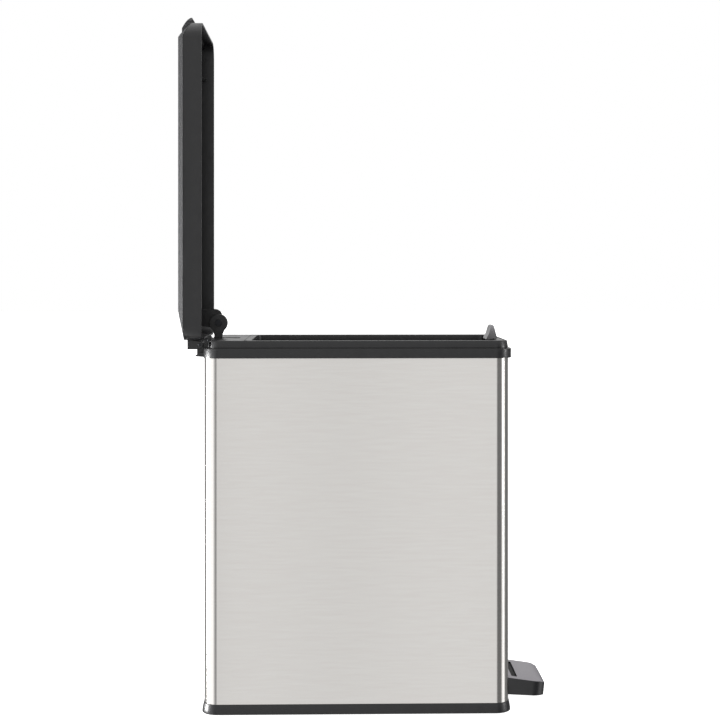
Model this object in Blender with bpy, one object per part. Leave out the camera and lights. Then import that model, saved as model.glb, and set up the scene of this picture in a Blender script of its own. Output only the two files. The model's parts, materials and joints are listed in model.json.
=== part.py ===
"""Pedal trash can: a slim rectangular step bin with its lid standing open and its pedal pressed.
Lengths are in millimetres here, and mesh() turns them into metres. Front is -Y, up is +Z."""

import math

import bmesh
import bpy

# ---- driving sizes -------------------------------------------------------------------------
BODY_W = 157.0  # width across the steel shell
BODY_D = 331.0  # depth, from the flat back to the middle of the barely crowned front
RIM_Z = 384.8  # underside of the rim band
MID_Y = 7.5  # the body's middle stands this far behind the middle of the whole outline
BOW_R = 3000.0  # radius of the crowned front
CORNER_R = 15.0  # vertical corners
GAP = 0.3  # clearance between assembled pieces
SHELL_T = 0.8
BASE_H = 11.4
FLARE = 2.3
BAND_H = 10.3
BAND_OUT = 3.2
BAND_BACK = 1.0  # the band stands out less at the back, where the bin meets a wall
COLLAR_H = 8.6
COLLAR_T = 2.4
SKIRT_T = 2.0
LEDGE = 3.2  # how far the bucket ledge stands in from the collar
DECK_D = 43.0  # rear deck, from the bucket opening to the back
DECK_T = 2.5
BUCKET_T = 1.6
TAPER = 3.6
FLOOR_Z = 52.0  # underside of the bucket
LID_WALL = 2.0
LID_T = 23.0  # lid top above the hinge axis
LID_DROP = 3.4  # lid edge below the hinge axis
LID_OVER = 13.4  # how far the lid's front stands out from the shell
HINGE_Z = RIM_Z + 14.2
PIN_R = 1.6
RUN = 0.09  # running clearance round a pin
CRANK_R = 1.9
KNUCKLE_R = 3.6
PIVOT_Z = 24.0
SHAFT_R = 3.0
PRESS = math.radians(6.0)  # how far the pressed pedal dips
ROD_W = 6.7
ROD_T = 2.2

# ---- what follows from them ----------------------------------------------------------------
HW = BODY_W / 2
BACK = MID_Y + BODY_D / 2
FRONT = MID_Y - BODY_D / 2
BAND_TOP = RIM_Z + BAND_H
TOP = BAND_TOP + COLLAR_H
HINGE_Y = BACK + 5.0
HINGE_X = HW - 24.0
WELL = BACK - DECK_D  # rear edge of the bucket opening
PIVOT_Y = FRONT + 68.0
ARM_Y, ARM_Z = 15.5, 21.3  # crank pin at rest, ahead of the hinge axis and above it
PIN_Y, PIN_Z = HINGE_Y - ARM_Y, HINGE_Z + ARM_Z
ROD_Y = PIN_Y + 0.2
ROD_X = -3.0
TAIL = PIN_Y + 3.5 - PIVOT_Y  # reach of the lever behind its shaft
LEDGE_Z = TOP - 5.8
IN = -1.4 - COLLAR_T  # inner face of the collar
COLLAR_BACK = -3.5  # the collar's outer face at the back
IN_BACK = COLLAR_BACK - 2.2

bpy.ops.object.select_all(action="DESELECT")
for old in list(bpy.data.objects):
    bpy.data.objects.remove(old)


def material(name, colour, metal, rough):
    made = bpy.data.materials.new(name)
    made.use_nodes = True
    shader = made.node_tree.nodes["Principled BSDF"]
    shader.inputs["Base Color"].default_value = (*colour, 1)
    shader.inputs["Metallic"].default_value = metal
    shader.inputs["Roughness"].default_value = rough
    return made


LOOKS = {
    "brushed": ((0.62, 0.61, 0.60), 1.0, 0.35),
    "black": ((0.035, 0.035, 0.038), 0.0, 0.45),
    "grain": ((0.06, 0.06, 0.065), 0.0, 0.6),
    "grey": ((0.12, 0.12, 0.13), 0.0, 0.5),
    "steel": ((0.55, 0.55, 0.56), 1.0, 0.3),
    "rubber": ((0.02, 0.02, 0.02), 0.0, 0.8),
}


def mesh(name, points, faces, look="black", origin=(0, 0, 0)):
    """A closed body, its origin at the given point."""
    data = bpy.data.meshes.new(name)
    data.from_pydata([[(p[i] - origin[i]) / 1000 for i in range(3)] for p in points], [], faces)
    made = bmesh.new()
    made.from_mesh(data)
    bmesh.ops.remove_doubles(made, verts=made.verts, dist=1e-7)
    bmesh.ops.recalc_face_normals(made, faces=made.faces)
    made.to_mesh(data)
    made.free()
    obj = bpy.data.objects.new(name, data)
    obj.location = [value / 1000 for value in origin]
    bpy.context.collection.objects.link(obj)
    data.materials.append(material(name, *LOOKS[look]))
    return obj


def arc(cx, cy, r, a0, a1, count):
    return [
        (cx + r * math.cos(a0 + (a1 - a0) * i / count), cy + r * math.sin(a0 + (a1 - a0) * i / count))
        for i in range(count + 1)
    ]


def plan(g=0.0, rear=None, back=BACK, front=FRONT, corner=CORNER_R, half=HW, bow=BOW_R):
    """The body's outline seen from above, grown outward by g, or by rear at the back."""
    h, r, b, big = half + g, max(corner + g, 0.8), back + (g if rear is None else rear), bow + g
    cy = front + bow
    fx = h - r
    fy = cy - math.sqrt((big - r) ** 2 - fx * fx)
    lean = math.atan2(fy - cy, fx)
    turn = 2 * math.pi
    return (
        arc(h - r, b - r, r, 0, turn / 4, 6)
        + arc(r - h, b - r, r, turn / 4, turn / 2, 6)
        + arc(-fx, fy, r, turn / 2, turn / 2 - lean, 5)
        + arc(0, cy, big, turn / 2 - lean, turn + lean, 10)[1:-1]
        + arc(fx, fy, r, turn + lean, turn, 5)
    )


def skin(rings, closed):
    count, points, faces = len(rings[0]), [p for ring in rings for p in ring], []
    for k in range(len(rings) if closed else len(rings) - 1):
        a, b = k * count, (k + 1) % len(rings) * count
        faces += [[a + i, a + (i + 1) % count, b + (i + 1) % count, b + i] for i in range(count)]
    if not closed:
        faces += [list(range(count)), list(range(len(points) - count, len(points)))]
    return points, faces


def rings_of(profile, shape):
    return [[(x, y, z) for x, y in plan(g, *rear, **shape)] for g, z, *rear in profile]


def band(name, profile, look="black", origin=(0, 0, 0), **shape):
    """A profile of (growth, height, growth at the back) carried round the outline, as one closed ring."""
    return mesh(name, *skin(rings_of(profile, shape), True), look, origin)


def tub(name, profile, look="black", origin=(0, 0, 0), **shape):
    """As band, but the first and the last outline are capped."""
    return mesh(name, *skin(rings_of(profile, shape), False), look, origin)


def box(name, x, y, z, look="black", origin=(0, 0, 0)):
    corners = [(a, b, c) for c in z for a, b in ((x[0], y[0]), (x[1], y[0]), (x[1], y[1]), (x[0], y[1]))]
    faces = [[0, 1, 2, 3], [4, 5, 6, 7]] + [[i, (i + 1) % 4, (i + 1) % 4 + 4, i + 4] for i in range(4)]
    return mesh(name, corners, faces, look, origin)


def prism(name, outline, x0, x1, look="black", origin=(0, 0, 0)):
    """An outline in (y, z) carried along X."""
    rings = [[(x, y, z) for y, z in outline] for x in (x0, x1)]
    return mesh(name, *skin(rings, False), look, origin)


def rod(name, axis, centre, profile, look="steel", origin=(0, 0, 0), count=24):
    """A turned solid: (radius, distance along the axis) from end to end."""
    rings = []
    for r, along in profile:
        ring = []
        for i in range(count):
            a = 2 * math.pi * i / count
            u, v = r * math.cos(a), r * math.sin(a)
            step = {"X": (along, u, v), "Z": (u, v, along)}[axis]
            ring.append(tuple(centre[k] + step[k] for k in range(3)))
        rings.append(ring)
    return mesh(name, *skin(rings, False), look, origin)


def combine(obj, other, operation="UNION"):
    """Boolean, applied at once. The other object goes."""
    step = obj.modifiers.new("step", "BOOLEAN")
    step.object, step.operation, step.solver = other, operation, "EXACT"
    graph = bpy.context.evaluated_depsgraph_get()
    graph.update()
    result = bpy.data.meshes.new_from_object(obj.evaluated_get(graph))
    obj.modifiers.remove(step)
    result.name = obj.name
    obj.data = result
    while len(obj.data.materials) > 1:
        obj.data.materials.pop(index=len(obj.data.materials) - 1)
    bpy.data.objects.remove(other)
    return obj


def add(obj, *others):
    for other in others:
        combine(obj, other)
    return obj


def cut(obj, *others):
    for other in others:
        combine(obj, other, "DIFFERENCE")
    return obj


def hull(*circles):
    """The outline round circles given as (y, z, r), as a convex polygon."""
    points = sorted({(round(y, 6), round(z, 6)) for c in circles for y, z in arc(*c, 0, 2 * math.pi, 28)})

    def side(run):
        kept = []
        for p in run:
            while len(kept) > 1 and (kept[-1][0] - kept[-2][0]) * (p[1] - kept[-2][1]) <= (
                kept[-1][1] - kept[-2][1]
            ) * (p[0] - kept[-2][0]):
                kept.pop()
            kept.append(p)
        return kept[:-1]

    return side(points) + side(points[::-1])


def screw(name, x, y, head_z, tip_z, r, origin=(0, 0, 0)):
    """A pan-head screw standing on its head, or hanging from it."""
    up = 1 if tip_z > head_z else -1
    head = 2.1 * r
    parts = [(head - 0.3, 0), (head, 0.3), (head, 1.1), (r, 1.1), (r, abs(tip_z - head_z) - 0.4)]
    parts.append((r - 0.4, abs(tip_z - head_z)))
    return rod(name, "Z", (x, y, head_z), [(q, up * d) for q, d in parts], "steel", origin, 14)


# ---- base ----------------------------------------------------------------------------------
ARM_HW = 18.0
PAD_HW = 39.0
PLATE_Z = (2.0, 4.3)
SHELF_Z = PLATE_Z[1] + GAP
base = band(
    "base_ring",
    [
        (FLARE, 1.0),
        (FLARE, 3.0),
        (1.1, BASE_H - 0.5),
        (0.6, BASE_H),
        (-SHELL_T - GAP, BASE_H),
        (-SHELL_T - GAP, 30.0),
        (-SHELL_T - GAP - SKIRT_T, 30.0),
        (-SHELL_T - GAP - SKIRT_T, SHELF_Z + 2.0),
        (-12.0, SHELF_Z + 2.0),
        (-12.0, SHELF_Z),
        (-0.4, SHELF_Z),
        (0.2, 1.0),
    ],
)
cut(
    base,
    box("c", (-ARM_HW - 2, ARM_HW + 2), (FRONT - 9, FRONT + 14), (7.5, 34)),
    box("c", (-PAD_HW - 1.6, PAD_HW + 1.6), (FRONT - 9, FRONT + 3.4), (6.0, BASE_H + 1)),
    box("c", (-ARM_HW - 3, ARM_HW + 3), (BACK - 24, BACK - 1.6), (SHELF_Z - 1, 34)),
)
SCREWS = [(sx * (HW - 8.0), y) for sx in (-1, 1) for y in (FRONT + 34, BACK - 30)]
FEET = [(sx * (HW - 17.0), y) for sx in (-1, 1) for y in (FRONT + 19, BACK - 19)]
plate = tub("base_plate", [(-0.9, PLATE_Z[0]), (-0.9, PLATE_Z[1])], "grey")
for x, y in SCREWS:
    cut(plate, rod("c", "Z", (x, y, 0), [(1.9, 0), (1.9, 9)]))
    cut(base, rod("c", "Z", (x, y, 0), [(1.9, 3), (1.9, 9)]))
for i, (x, y) in enumerate(SCREWS):
    screw(f"base_screw_{i + 1}", x, y, PLATE_Z[0] - 1.4, SHELF_Z + 1.9, 1.6)
for i, (x, y) in enumerate(FEET):
    rod(f"foot_{i + 1}", "Z", (x, y, 0), [(7.6, 0), (8.2, 0.5), (8.2, PLATE_Z[0] - GAP)], "rubber")

for side, s in (("left", -1), ("right", 1)):
    near = s * (ARM_HW + GAP + 0.7)
    x = sorted((near, near + s * 4.5))
    foot = [(PIVOT_Y - 14, PLATE_Z[1] + GAP), (PIVOT_Y + 14, PLATE_Z[1] + GAP)]
    outline = foot + [(PIVOT_Y + 14, 8.0)]
    outline += arc(PIVOT_Y, PIVOT_Z, 7.0, 0, math.pi, 14) + [(PIVOT_Y - 14, 8.0)]
    bracket = prism(f"pivot_bracket_{side}", outline, *x, "grey")
    cut(bracket, rod("c", "X", (0, PIVOT_Y, PIVOT_Z), [(SHAFT_R + RUN, -40), (SHAFT_R + RUN, 40)]))
rod(
    "pivot_shaft",
    "X",
    (0, PIVOT_Y, PIVOT_Z),
    [(SHAFT_R - 0.5, -25.5), (SHAFT_R, -25), (SHAFT_R, 25), (SHAFT_R - 0.5, 25.5)],
)

# ---- steel shell ---------------------------------------------------------------------------
SHELL_TOP = RIM_Z + 6.2
shell = band(
    "steel_shell",
    [(0, BASE_H + GAP), (0, SHELL_TOP), (-SHELL_T, SHELL_TOP), (-SHELL_T, BASE_H + GAP)],
    "brushed",
)
cut(shell, box("c", (-ARM_HW - 2, ARM_HW + 2), (FRONT - 9, FRONT + 9), (0, 31)))

# ---- rim -----------------------------------------------------------------------------------
GROOVE = SHELL_TOP + GAP
rim = band(
    "rim",
    [
        (GAP, RIM_Z),
        (BAND_OUT - 0.8, RIM_Z, BAND_BACK - 0.2),
        (BAND_OUT, RIM_Z + 0.8, BAND_BACK),
        (BAND_OUT, BAND_TOP - 0.7, BAND_BACK),
        (BAND_OUT - 0.7, BAND_TOP, BAND_BACK - 0.2),
        (0.1, BAND_TOP, COLLAR_BACK + 0.6),
        (-1.2, TOP - 0.7, COLLAR_BACK),
        (-1.8, TOP, COLLAR_BACK - 0.6),
        (IN, TOP, IN_BACK),
        (IN, LEDGE_Z, IN_BACK),
        (IN - LEDGE, LEDGE_Z, IN_BACK - LEDGE),
        (IN - LEDGE, LEDGE_Z - 2.2, IN_BACK - LEDGE),
        (-SHELL_T - GAP - SKIRT_T, LEDGE_Z - 5.6),
        (-SHELL_T - GAP - SKIRT_T, RIM_Z - 8.0),
        (-SHELL_T - GAP, RIM_Z - 8.0),
        (-SHELL_T - GAP, GROOVE),
        (GAP, GROOVE),
    ],
)
FAR = HW + IN + 0.8
cut(rim, box("c", (-FAR + 0.8, FAR - 0.8), (WELL + 2.4, BACK + IN_BACK), (RIM_Z - 20, TOP - 1.2)))
inside = [(IN + 0.8, TOP - DECK_T, IN_BACK + 0.8), (IN + 0.8, TOP - 0.2, IN_BACK + 0.8)]
deck = tub("a", inside)
cut(deck, box("c", (-FAR - 9, FAR + 9), (FRONT - 9, WELL), (TOP - DECK_T - 2, TOP + 2)))
add(
    rim,
    deck,
    box("a", (-FAR + 1, FAR - 1), (WELL, WELL + 2.5), (RIM_Z - 1, TOP - 1)),
    box("a", (-FAR + 2, FAR - 2), (WELL - LEDGE, WELL + 1), (LEDGE_Z - 2.5, LEDGE_Z)),
)
SLOT_Y = (WELL + 8.0, max(BACK + IN_BACK, PIN_Y + 5.0) + 0.3)
cut(rim, box("c", (-8.6, 6.2), SLOT_Y, (RIM_Z - 20, TOP + 9)))
LUG = 4.5  # half width of the rim's hinge lug
ARM = 6.0  # width of each lid knuckle
for s in (-1, 1):
    x = s * HINGE_X
    root = BACK + 0.55
    outline = [(root, RIM_Z + 0.9), (HINGE_Y + 3.2, RIM_Z + 1.6), (HINGE_Y + 3.6, RIM_Z + 4.0)]
    outline += arc(HINGE_Y, HINGE_Z, KNUCKLE_R, 0, math.pi, 12)
    outline += [(HINGE_Y - KNUCKLE_R, BAND_TOP - 1), (root, BAND_TOP - 2)]
    lug = prism("a", outline, x - LUG, x + LUG)
    outline = [(root, RIM_Z + 0.8), (HINGE_Y + 4.6, RIM_Z + 1.4), (HINGE_Y + 4.6, RIM_Z + 2.6)]
    outline += [(HINGE_Y + 0.5, RIM_Z + 5.2), (root, RIM_Z + 5.6)]
    wide = LUG + ARM + 1.0
    add(rim, prism("a", outline, x - wide, x + wide), lug)
    cut(rim, rod("c", "X", (x, HINGE_Y, HINGE_Z), [(PIN_R + RUN, -8), (PIN_R + RUN, 8)]))
for side, s in (("left", -1), ("right", 1)):
    end = LUG + ARM + 1.2
    rod(
        f"hinge_pin_{side}",
        "X",
        (s * HINGE_X, HINGE_Y, HINGE_Z),
        [(PIN_R - 0.4, -end), (PIN_R, 0.4 - end), (PIN_R, end - 0.4), (PIN_R - 0.4, end)],
    )

# ---- rod channel cover ---------------------------------------------------------------------
wall, inner, ear = 1.2, 22.0, 7.0
y0, y1 = WELL + 2.5 + GAP, BACK - SHELL_T - GAP
outline = [
    (-inner - ear, y1),
    (-inner - ear, y1 - wall),
    (-inner - wall, y1 - wall),
    (-inner - wall, y0),
    (inner + wall, y0),
    (inner + wall, y1 - wall),
    (inner + ear, y1 - wall),
    (inner + ear, y1),
    (inner, y1),
    (inner, y0 + wall),
    (-inner, y0 + wall),
    (-inner, y1),
]
rings = [[(x, y, z) for x, y in outline] for z in (58.0, RIM_Z - 9.0)]
mesh("channel_cover", *skin(rings, False), "grey")

# ---- lid, drawn closed and then turned open about the hinge axis ---------------------------------
AXIS = (0, HINGE_Y, HINGE_Z)
EDGE_Z = HINGE_Z - LID_DROP
LID_TOP = HINGE_Z + LID_T
SEAM = LID_TOP - 6.3
G = 3.3
LID_BACK = HINGE_Y - 4.8
LID_FRONT = FRONT - LID_OVER
LIP_Y = LID_FRONT - 12.4
LID = {"front": LID_FRONT + G, "back": LID_BACK - G}
SLOPE_Y = LID_FRONT + 16.0  # from here forward the lid's top and its seam run down
SLOPE = 0.54
frame = band(
    "lid_frame",
    [
        (G, EDGE_Z + 0.4),
        (G, SEAM - 0.3),
        (-7.0, SEAM - 0.3),
        (-7.0, SEAM - 2.3),
        (G - LID_WALL, SEAM - 2.3),
        (G - LID_WALL, EDGE_Z),
        (G - 0.5, EDGE_Z),
    ],
    "black",
    AXIS,
    **LID,
)
side_x = HW - 1.0
web = (-side_x, side_x), (LID_BACK - 39, LID_BACK - 1), (SEAM - 2.3, SEAM - 0.3)
add(frame, box("a", *web, origin=AXIS))


def slope_front(obj):
    """Everything near the seam and above it runs down towards the lid's front edge."""
    shape = bmesh.new()
    shape.from_mesh(obj.data)
    cut_at = (0, (SLOPE_Y - HINGE_Y) / 1000, 0)
    every = shape.verts[:] + shape.edges[:] + shape.faces[:]
    bmesh.ops.bisect_plane(shape, geom=every, plane_co=cut_at, plane_no=(0, 1, 0))
    for v in shape.verts:
        y, z = v.co.y * 1000 + HINGE_Y, v.co.z * 1000 + HINGE_Z
        if y < SLOPE_Y and z > SEAM - 4:
            v.co.z -= (SLOPE_Y - y) * SLOPE / 1000
    shape.to_mesh(obj.data)
    shape.free()


slope_front(frame)
panel = tub(
    "lid_panel",
    [
        (-8.0, LID_TOP, -25.0),
        (-6.2, LID_TOP - 0.4, -22.0),
        (G - 0.4, SEAM + 0.6),
        (G, SEAM + 0.2),
        (G, SEAM),
        (0.2, SEAM),
        (-7.0, LID_TOP - 1.8, -23.0),
    ],
    "grain",
    AXIS,
    **LID,
)
slope_front(panel)
LIP_HW = 35.0
lip_top = [(SLOPE_Y, LID_TOP - 0.1), (LID_FRONT, LID_TOP - 0.4), (LIP_Y + 6.8, LID_TOP - 3.8)]
lip_top += [(LIP_Y + 0.5, LID_TOP - 9.2), (LIP_Y, LID_TOP - 10.4), (LIP_Y + 0.8, LID_TOP - 11.6)]
lip_top += [(LIP_Y + 5.2, LID_TOP - 14.2), (LID_FRONT - 0.6, LID_TOP - 14.2)]
lip_top += [(LID_FRONT + 1.6, LID_TOP - 13.2), (LID_FRONT + 10.6, LID_TOP - 3.9), (SLOPE_Y, LID_TOP - 1.3)]
add(panel, prism("a", lip_top, -LIP_HW, LIP_HW, origin=AXIS))
for s in (-1, 1):
    outline = [(s * (LIP_HW - 12), LIP_Y - 4), (s * (LIP_HW + 6), LIP_Y - 4)]
    outline.append((s * (LIP_HW + 6), LID_FRONT + 3))
    rings = [[(x, y, z) for x, y in outline] for z in (SEAM - 30, LID_TOP + 10)]
    cut(panel, mesh("c", *skin(rings, False), origin=AXIS))
for s in (-1, 1):
    x = s * HINGE_X
    # window round the rim's lug, then the two knuckles and the stop block between axis and wall
    window = (x - LUG - 0.7, x + LUG + 0.7), (HINGE_Y - 8, HINGE_Y + 4), (EDGE_Z - 2, HINGE_Z + 5)
    cut(frame, box("c", *window, origin=AXIS))
    for t in (-1, 1):
        x0, x1 = sorted((x + t * (LUG + 0.5), x + t * (LUG + 0.5 + ARM)))
        outline = arc(HINGE_Y, HINGE_Z, KNUCKLE_R, math.pi * 0.95, math.pi * 1.95, 12)
        outline += [(HINGE_Y + 5.2, HINGE_Z + 4), (HINGE_Y + 5.2, HINGE_Z + 13.4)]
        outline.append((LID_BACK - 1, HINGE_Z + 13.4))
        add(frame, prism("a", outline, x0, x1, origin=AXIS))
        bore = [(PIN_R + RUN, -14), (PIN_R + RUN, 14)]
        cut(frame, rod("c", "X", (x, HINGE_Y, HINGE_Z), bore, origin=AXIS))

# crank ear under the rear web
py, pz = HINGE_Y - ARM_Z, HINGE_Z - ARM_Y  # crank pin with the lid closed
ly, lz = HINGE_Y - ARM_Z - 7.0, HINGE_Z - ARM_Y + 4.6
web = SEAM - 2.3 - GAP
body = hull((py, pz, 6.5), (ly, lz, 8.6), (ly + 1, HINGE_Z + 8, 9.0))
ear_x = (0.6, 3.6)
lid_ear = prism("lid_ear", body, *ear_x, "black", AXIS)
cut(lid_ear, box("c", (-1, 6), (ly - 40, ly + 40), (web - 1, web + 60), origin=AXIS))
add(lid_ear, box("a", (-10, 15), (LID_BACK - 36, LID_BACK - 13), (web - 2.4, web), origin=AXIS))
cut(lid_ear, rod("c", "X", (0, py, pz), [(CRANK_R + RUN, -9), (CRANK_R + RUN, 9)], origin=AXIS))
rod(
    "crank_pin",
    "X",
    (0, py, pz),
    [(3.6, -8.2), (3.9, -7.9), (3.9, -7.2), (CRANK_R, -7.2), (CRANK_R, 3.9), (3.2, 3.9), (3.2, 4.9)]
    + [(2.9, 5.2)],
    "steel",
    AXIS,
)
EAR_SCREWS = [(sx, LID_BACK - 18) for sx in (-5.5, 10.5)]
for i, (x, y) in enumerate(EAR_SCREWS):
    hole = [(2.0, web - 9), (2.0, web + 5)]
    cut(lid_ear, rod("c", "Z", (x, y, 0), hole, origin=AXIS))
    cut(frame, rod("c", "Z", (x, y, 0), hole, origin=AXIS))
    screw(f"ear_screw_{i + 1}", x, y, web - 3.8, SEAM - 0.2, 1.6, AXIS)
LID_SCREWS = [(s * (HW - 3.2), y) for s in (-1, 1) for y in (FRONT + 52, BACK - 65)]
for i, (x, y) in enumerate(LID_SCREWS):
    boss = rod("a", "Z", (x, y, 0), [(3.4, SEAM), (3.4, SEAM + 3.6)], origin=AXIS)
    add(panel, boss)
    cut(panel, rod("c", "Z", (x, y, 0), [(1.9, SEAM - 1), (1.9, SEAM + 2.4)], origin=AXIS))
    cut(frame, rod("c", "Z", (x, y, 0), [(1.9, SEAM - 9), (1.9, SEAM + 0.5)], origin=AXIS))
    screw(f"lid_screw_{i + 1}", x, y, SEAM - 3.7, SEAM + 2.1, 1.6, AXIS)
for side, s in (("left", -1), ("right", 1)):
    top = SEAM - 2.3 - GAP
    profile = [(3.2, top), (3.2, top - 3), (2.4, TOP + GAP + 0.2), (2.0, TOP + GAP)]
    rod(f"lid_buffer_{side}", "Z", (s * (HW - 3.6), FRONT + 28, 0), profile, "rubber", AXIS)
LID_NODES = ["lid_frame", "lid_panel", "lid_ear", "crank_pin", "lid_buffer_left", "lid_buffer_right"]
LID_NODES += [f"ear_screw_{i + 1}" for i in range(2)] + [f"lid_screw_{i + 1}" for i in range(4)]
for name in LID_NODES:
    bpy.data.objects[name].rotation_euler = (-math.pi / 2, 0, 0)

# ---- push rod, drawn as it stands -----------------------------------------------------------
CRANK = (0, PIN_Y, PIN_Z)
HEAD_X = (-6.5, -0.3)
SOCKET_Z = PIN_Z - 26
disc = [(9.8, HEAD_X[0]), (10.3, HEAD_X[0] + 0.5), (10.3, HEAD_X[1])]
head = rod("rod_head", "X", (0, PIN_Y, PIN_Z), disc, "black", CRANK, 40)
neck = [(PIN_Y - 7, PIN_Z - 7), (PIN_Y - 4.4, PIN_Z - 13), (PIN_Y - 4.4, SOCKET_Z), (PIN_Y + 4.7, SOCKET_Z)]
neck += [(PIN_Y + 4.7, PIN_Z - 13), (PIN_Y + 7, PIN_Z - 7)]
add(head, prism("a", neck, *HEAD_X, origin=CRANK))
cut(head, rod("c", "X", (0, PIN_Y, PIN_Z), [(CRANK_R + RUN, -9), (CRANK_R + RUN, 9)], origin=CRANK))
cut(head, rod("c", "X", (0, PIN_Y, PIN_Z), [(4.3, HEAD_X[0] - 2), (4.3, HEAD_X[0] + 0.6)], origin=CRANK))
flat = (ROD_X - ROD_T / 2, ROD_X + ROD_T / 2)
loose = (flat[0] - GAP, flat[1] + GAP)
rod_y = (ROD_Y - ROD_W / 2, ROD_Y + ROD_W / 2)
free_y = (rod_y[0] - GAP, rod_y[1] + GAP)
cut(head, box("c", loose, free_y, (SOCKET_Z - 1, PIN_Z - 12), origin=CRANK))
ROD_TOP = PIN_Z - 12 - GAP
SHOE_Z = FLOOR_Z - 4.0
box("push_rod", flat, rod_y, (SHOE_Z + 2 + GAP, ROD_TOP), "steel", CRANK)
shoe_outline = [(ROD_Y - 5.4, SHOE_Z + 1.2), (ROD_Y - 4, SHOE_Z), (ROD_Y + 4, SHOE_Z)]
shoe_outline += [(ROD_Y + 5.2, SHOE_Z + 1.2), (ROD_Y + 5.2, SHOE_Z + 14), (ROD_Y - 5.4, SHOE_Z + 14)]
shoe = prism("rod_shoe", shoe_outline, ROD_X - 6, ROD_X + 6, "black", CRANK)
cut(shoe, box("c", loose, free_y, (SHOE_Z + 2, SHOE_Z + 20), origin=CRANK))

# ---- pedal lever, drawn level and then dipped about its shaft ---------------------------------
SHAFT = (0, PIVOT_Y, PIVOT_Z)


def at(y, z):
    return PIVOT_Y + y, PIVOT_Z + z


def lever_prism(points, x0, x1, name="a", look="steel"):
    return prism(name, [at(y, z) for y, z in points], x0, x1, look, SHAFT)


TIP = -(PIVOT_Y - FRONT) - 36.0
side_view = [(TIP, -7), (TAIL, -7), (TAIL, -1), (60, 4), (-40, 4), (-62, -2.5), (TIP, -3.5)]
lever = lever_prism(side_view, -ARM_HW, ARM_HW, "pedal_lever")
hollow = [(TIP - 5, -5), (TAIL + 5, -5), (TAIL + 5, 20), (TIP - 5, 20)]
cut(lever, lever_prism(hollow, -ARM_HW + 2, ARM_HW - 2))
cut(lever, rod("c", "X", SHAFT, [(SHAFT_R + RUN, -40), (SHAFT_R + RUN, 40)], origin=SHAFT))
REAR = FRONT - PIVOT_Y - 3.0
NOSE = REAR - 45.0
outer = [(REAR, -7.6), (REAR, 10.4), (REAR - 0.5, 10.9), (NOSE + 9.0, 9.7), (NOSE + 4.0, 8.0)]
outer += [(NOSE + 1.0, 4.2), (NOSE, 1.0), (NOSE + 0.6, -4.4), (NOSE + 3, -5.6)]
pad = lever_prism(outer, -PAD_HW, PAD_HW, "pedal_pad", "black")
inside = [(REAR - 2.5, -12), (REAR - 2.5, 7.6), (NOSE + 9.5, 6.8), (NOSE + 4.2, 4.0), (NOSE + 2.8, 0)]
inside.append((NOSE + 2.8, -12))
hollow = lever_prism(inside, -PAD_HW + 2.5, PAD_HW - 2.5)
for piece, half, corner, bow, back, front in (
    (pad, PAD_HW, 7.0, 3000.0, REAR, NOSE - 30),
    (pad, PAD_HW, 20.0, 150.0, REAR + 30, NOSE),
    (hollow, PAD_HW - 2.5, 17.5, 150.0, REAR + 30, NOSE + 2.5),
):
    shape = {"half": half, "corner": corner, "bow": bow, "back": PIVOT_Y + back, "front": PIVOT_Y + front}
    footprint = tub("c", [(0, PIVOT_Z - 20), (0, PIVOT_Z + 20)], origin=SHAFT, **shape)
    combine(piece, footprint, "INTERSECT")
cut(pad, hollow)
slot = [(REAR - 5, -12), (REAR + 9, -12), (REAR + 9, -1), (REAR - 5, -1)]
cut(pad, lever_prism(slot, -ARM_HW - 1, ARM_HW + 1))
groove = [(REAR - 8.4, 9.2), (REAR - 4.4, 9.2), (REAR - 4.4, 14), (REAR - 8.4, 14)]
cut(pad, lever_prism(groove, -30, 30))
for i, s in enumerate((-1, 1)):
    y = REAR - 20.0
    x = s * 8.0
    spot = (x, PIVOT_Y + y, PIVOT_Z)
    add(pad, rod("a", "Z", spot, [(4.0, -4.7), (4.0, 8.4)], origin=SHAFT))
    cut(pad, rod("c", "Z", spot, [(1.9, -6), (1.9, 4)], origin=SHAFT))
    cut(lever, rod("c", "Z", spot, [(1.9, -12), (1.9, 0)], origin=SHAFT))
    screw(f"pedal_screw_{i + 1}", x, PIVOT_Y + y, PIVOT_Z - 8.4, PIVOT_Z + 3.5, 1.6, SHAFT)
for name in ("pedal_lever", "pedal_pad", "pedal_screw_1", "pedal_screw_2"):
    bpy.data.objects[name].rotation_euler = (PRESS, 0, 0)

# ---- inner bucket and bag ring -----------------------------------------------------------------
EDGE = IN - 0.4  # outer edge of the bucket's flange
SEAT = LEDGE_Z + GAP
well = {"back": WELL - 0.4 - EDGE, "corner": 20.0}
neck_g = IN - LEDGE - 0.4
tub(
    "inner_bucket",
    [
        (neck_g - TAPER - 1.6, FLOOR_Z),
        (neck_g - TAPER, FLOOR_Z + 1.6),
        (neck_g, SEAT),
        (EDGE, SEAT),
        (EDGE, SEAT + 2.0),
        (neck_g - BUCKET_T, SEAT + 2.0),
        (neck_g - TAPER - BUCKET_T, FLOOR_Z + 3.4),
        (neck_g - TAPER - BUCKET_T - 1.2, FLOOR_Z + 2.0),
    ],
    "grey",
    **well,
)
RING_Z = SEAT + 2.0 + GAP
RING_AXIS = (0, WELL - 1.6, RING_Z + 2.6)
skirt = neck_g - BUCKET_T - 1.0
ring = band(
    "bag_ring",
    [
        (EDGE, RING_Z),
        (EDGE, TOP - 0.5),
        (EDGE - 0.3, TOP - 0.2),
        (skirt - 0.9, TOP - 0.2),
        (skirt - 1.4, TOP - 0.8),
        (skirt - 1.4, RING_Z - 11.0),
        (skirt, RING_Z - 11.0),
        (skirt, RING_Z),
    ],
    "black",
    RING_AXIS,
    **well,
)
tab = [(FRONT + 5.6, TOP - 1.5), (FRONT + 6.6, TOP + 1.4), (FRONT + 7.6, TOP + 4.5)]
tab += [(FRONT + 9.4, TOP + 12.6), (FRONT + 10.3, TOP + 14.1), (FRONT + 11.4, TOP + 14.5)]
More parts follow.
